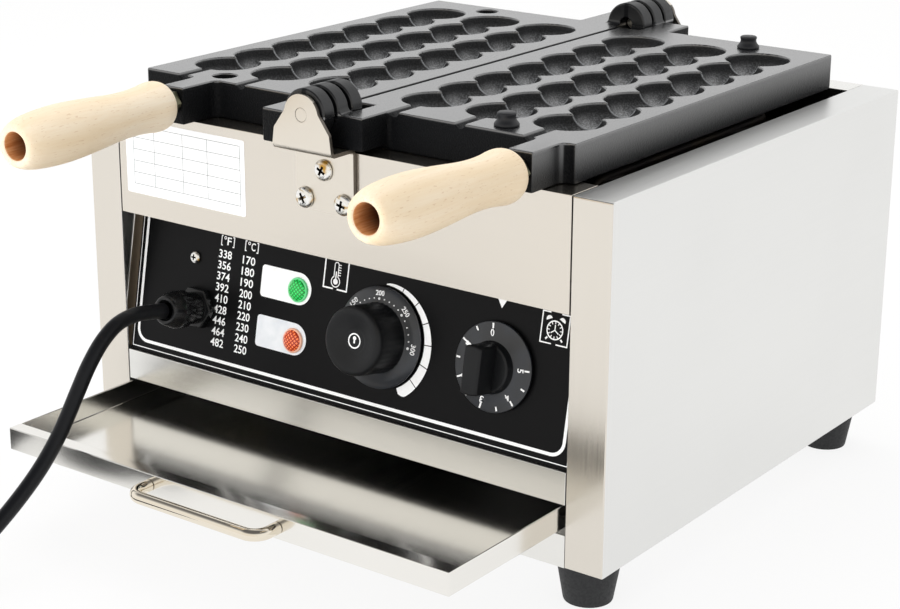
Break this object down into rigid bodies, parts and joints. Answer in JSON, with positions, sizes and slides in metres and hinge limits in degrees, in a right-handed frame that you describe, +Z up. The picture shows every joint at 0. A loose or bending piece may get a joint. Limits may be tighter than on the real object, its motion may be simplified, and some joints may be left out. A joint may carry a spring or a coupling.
{
  "type": "bubble waffle maker",
  "caption": "Countertop waffle maker: a steel box with two folding cast plates full of round dents, wooden handles, a drip tray and a slanted panel with two knobs.",
  "frame": {"origin": "middle of the machine's footprint at the level it stands on, measured without the mains cord", "axes": "+X to the right seen from the front, +Y to the back, +Z up"},
  "size_m": [0.4541, 0.659, 0.2721],
  "materials": {
    "stainless": "brushed stainless sheet, warm grey",
    "zinc_plated": "bright zinc plate",
    "chrome_plated": "polished chrome plate",
    "coated_casting": "cast aluminium with a satin black non-stick coat",
    "beech": "turned pale beech, plain",
    "black_panel": "matt black with white print",
    "black_moulding": "glossy black moulding",
    "black_rubber": "matt black",
    "green_lens": "clear green lens with a ribbed face",
    "red_lens": "clear orange red lens with a ribbed face",
    "heater_sheath": "oxidised steel sheath",
    "copper_bulb": "dull copper",
    "ceramic": "pale ceramic",
    "switch_case": "grey case"
  },
  "bodies": {
    "case": {"left_side_panel": "stainless", "right_side_panel": "stainless", "front_upper_panel": "stainless", "front_strip": "stainless", "base_pan": "stainless", "rear_panel": "stainless", "front_left_foot": "black_rubber", "front_right_foot": "black_rubber", "rear_left_foot": "black_rubber", "rear_right_foot": "black_rubber", "control_fascia": "black_panel", "control_frame": "stainless", "panel_screw": "zinc_plated", "power_lamp": "green_lens", "heating_lamp": "red_lens", "thermostat_body": "switch_case", "timer_body": "switch_case", "gland_body": "black_moulding", "gland_cap": "black_moulding", "terminal_block": "ceramic", "left_runner": "zinc_plated", "right_runner": "zinc_plated", "heating_chamber": "stainless", "left_heater": "heater_sheath", "right_heater": "heater_sheath", "front_heater_bar": "stainless", "rear_heater_bar": "stainless", "thermostat_bulb": "copper_bulb", "front_hinge_bracket": "stainless", "rear_hinge_bracket": "stainless", "front_bracket_top_screw": "zinc_plated", "front_bracket_left_screw": "zinc_plated", "front_bracket_right_screw": "zinc_plated", "rear_bracket_top_screw": "zinc_plated", "rear_bracket_left_screw": "zinc_plated", "rear_bracket_right_screw": "zinc_plated", "front_hinge_pin": "zinc_plated", "rear_hinge_pin": "zinc_plated", "cord_lead": "black_rubber", "cord_coil": "black_rubber", "plug": "black_rubber"},
    "left_leaf": {"left_plate": "coated_casting", "left_handle": "beech", "left_handle_bolt": "zinc_plated", "left_handle_nut": "zinc_plated"},
    "right_leaf": {"right_plate": "coated_casting", "front_stud": "coated_casting", "rear_stud": "coated_casting", "right_handle": "beech", "right_handle_bolt": "zinc_plated", "right_handle_nut": "zinc_plated"},
    "tray": {"drip_tray": "stainless", "tray_handle": "chrome_plated", "left_handle_screw": "zinc_plated", "right_handle_screw": "zinc_plated"},
    "temperature_control": {"temperature_knob": "black_moulding", "thermostat_shaft": "zinc_plated"},
    "timer_control": {"timer_knob": "black_moulding", "timer_shaft": "zinc_plated"}
  },
  "joints": [
    {"name": "left_plate_fold", "type": "hinge", "parent": "case", "child": "left_leaf", "pos_m": [0, 0.05768, 0.2578], "axis": [0, 1, 0], "range_deg": [0, 180]},
    {"name": "right_plate_fold", "type": "hinge", "parent": "case", "child": "right_leaf", "pos_m": [0, 0.05768, 0.2578], "axis": [0, -1, 0], "range_deg": [0, 180]},
    {"name": "tray_slide", "type": "slide", "parent": "case", "child": "tray", "axis": [0, 1, 0], "range_m": [0, 0.098]},
    {"name": "temperature_turn", "type": "hinge", "parent": "case", "child": "temperature_control", "pos_m": [0.0292, -0.0973, 0.1275], "axis": [0, -0.9825, 0.1865], "range_deg": [-180, 95]},
    {"name": "timer_turn", "type": "hinge", "parent": "case", "child": "timer_control", "pos_m": [0.1085, -0.0973, 0.1275], "axis": [0, 0.9825, -0.1865], "range_deg": [0, 270]}
  ]
}
